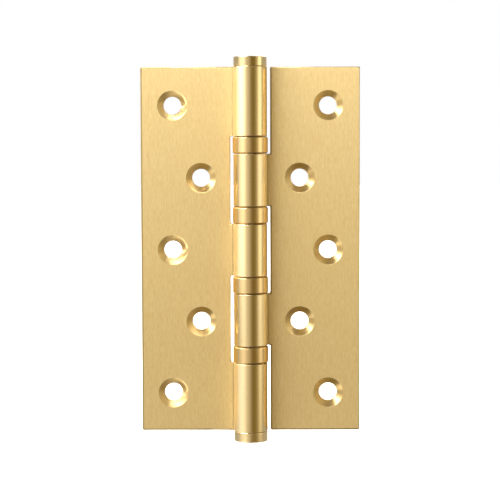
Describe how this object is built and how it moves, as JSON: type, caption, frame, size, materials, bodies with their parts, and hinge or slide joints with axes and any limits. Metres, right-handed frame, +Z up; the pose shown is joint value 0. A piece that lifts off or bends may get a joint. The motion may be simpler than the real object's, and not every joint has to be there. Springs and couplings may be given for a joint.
{
  "type": "door hinge",
  "caption": "Brass butt hinge, 5 x 3 inch, with ball bearings between its knuckles, countersunk screw holes and flat finials.",
  "frame": {"origin": "middle of the pin's axis, which is the centre of the opened hinge's box", "axes": "+Z up along the pin, +X across the opened leaves from the frame leaf to the door leaf, +Y out of the leaves' flat backs"},
  "size_m": [0.0762, 0.0122, 0.1338],
  "materials": {
    "leaf_brass": "satin, fine grain along the pin",
    "bearing_brass": "turned satin",
    "finial_brass": "turned bright",
    "pin_steel": "ground",
    "race_steel": "hardened and ground",
    "cage_brass": "pressed sheet",
    "ball_steel": "polished"
  },
  "bodies": {
    "frame_side": {"frame_leaf": "leaf_brass", "hinge_pin": "pin_steel", "top_finial": "finial_brass", "bottom_finial": "finial_brass", "bearing_1_upper_race": "race_steel", "bearing_2_lower_race": "race_steel", "bearing_2_shell": "bearing_brass", "bearing_3_upper_race": "race_steel", "bearing_4_lower_race": "race_steel", "bearing_4_shell": "bearing_brass"},
    "door_side": {"door_leaf": "leaf_brass", "bearing_1_lower_race": "race_steel", "bearing_1_shell": "bearing_brass", "bearing_2_upper_race": "race_steel", "bearing_3_lower_race": "race_steel", "bearing_3_shell": "bearing_brass", "bearing_4_upper_race": "race_steel"},
    "ball_set_1": {"bearing_1_ball_cage": "cage_brass", "bearing_1_ball_1": "ball_steel", "bearing_1_ball_2": "ball_steel", "bearing_1_ball_3": "ball_steel", "bearing_1_ball_4": "ball_steel", "bearing_1_ball_5": "ball_steel", "bearing_1_ball_6": "ball_steel", "bearing_1_ball_7": "ball_steel", "bearing_1_ball_8": "ball_steel"},
    "ball_set_2": {"bearing_2_ball_cage": "cage_brass", "bearing_2_ball_1": "ball_steel", "bearing_2_ball_2": "ball_steel", "bearing_2_ball_3": "ball_steel", "bearing_2_ball_4": "ball_steel", "bearing_2_ball_5": "ball_steel", "bearing_2_ball_6": "ball_steel", "bearing_2_ball_7": "ball_steel", "bearing_2_ball_8": "ball_steel"},
    "ball_set_3": {"bearing_3_ball_cage": "cage_brass", "bearing_3_ball_1": "ball_steel", "bearing_3_ball_2": "ball_steel", "bearing_3_ball_3": "ball_steel", "bearing_3_ball_4": "ball_steel", "bearing_3_ball_5": "ball_steel", "bearing_3_ball_6": "ball_steel", "bearing_3_ball_7": "ball_steel", "bearing_3_ball_8": "ball_steel"},
    "ball_set_4": {"bearing_4_ball_cage": "cage_brass", "bearing_4_ball_1": "ball_steel", "bearing_4_ball_2": "ball_steel", "bearing_4_ball_3": "ball_steel", "bearing_4_ball_4": "ball_steel", "bearing_4_ball_5": "ball_steel", "bearing_4_ball_6": "ball_steel", "bearing_4_ball_7": "ball_steel", "bearing_4_ball_8": "ball_steel"}
  },
  "joints": [
    {"name": "leaf_swing", "type": "hinge", "parent": "frame_side", "child": "door_side", "pos_m": [0, 0, 0], "axis": [0, 0, 1], "range_deg": [-180, 115]},
    {"name": "ball_set_1_roll", "type": "hinge", "parent": "frame_side", "child": "ball_set_1", "pos_m": [0, 0, 0.03645], "axis": [0, 0, 1], "range_deg": [-90.5, 58]},
    {"name": "ball_set_2_roll", "type": "hinge", "parent": "frame_side", "child": "ball_set_2", "pos_m": [0, 0, 0.01215], "axis": [0, 0, 1], "range_deg": [-90.5, 58]},
    {"name": "ball_set_3_roll", "type": "hinge", "parent": "frame_side", "child": "ball_set_3", "pos_m": [0, 0, -0.01215], "axis": [0, 0, 1], "range_deg": [-90.5, 58]},
    {"name": "ball_set_4_roll", "type": "hinge", "parent": "frame_side", "child": "ball_set_4", "pos_m": [0, 0, -0.03645], "axis": [0, 0, 1], "range_deg": [-90.5, 58]}
  ],
  "couplings": [
    {"joint": "ball_set_1_roll", "follows": "leaf_swing", "ratio": 0.5},
    {"joint": "ball_set_2_roll", "follows": "leaf_swing", "ratio": 0.5},
    {"joint": "ball_set_3_roll", "follows": "leaf_swing", "ratio": 0.5},
    {"joint": "ball_set_4_roll", "follows": "leaf_swing", "ratio": 0.5}
  ]
}
